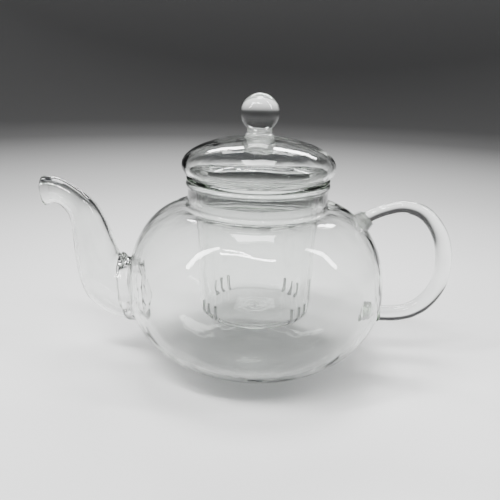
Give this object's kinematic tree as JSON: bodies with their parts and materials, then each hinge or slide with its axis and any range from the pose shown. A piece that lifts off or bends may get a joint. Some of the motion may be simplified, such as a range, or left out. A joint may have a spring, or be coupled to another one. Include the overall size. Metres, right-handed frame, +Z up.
{
  "type": "glass teapot",
  "caption": "Round blown-glass teapot with a curved spout and a rod handle, a slotted glass infuser hanging in its neck, and a domed lid with a ball knob.",
  "frame": {"origin": "middle of the flat base, on the table", "axes": "+Z up the pot's axis, -X towards the spout, +X towards the handle, +Y to the pot's back"},
  "size_m": [0.2074, 0.13, 0.1357],
  "materials": {
    "clear_glass": "clear, polished, slightly wavy from blowing",
    "weld_glass": "clear with fine bubbles and ripples, fused in the flame"
  },
  "bodies": {
    "pot": {"pot_body": "clear_glass", "spout": "clear_glass", "spout_weld": "weld_glass", "handle": "clear_glass", "handle_upper_weld": "weld_glass", "handle_lower_weld": "weld_glass"},
    "infuser": {"infuser": "clear_glass"},
    "lid": {"lid_shell": "clear_glass", "knob_stem": "weld_glass", "lid_knob": "clear_glass"}
  },
  "joints": [
    {"name": "infuser_lift", "type": "slide", "parent": "pot", "child": "infuser", "axis": [0, 0, 1], "range_m": [0, 0.078]},
    {"name": "lid_lift", "type": "slide", "parent": "infuser", "child": "lid", "axis": [0, 0, 1], "range_m": [0, 0.04]}
  ]
}
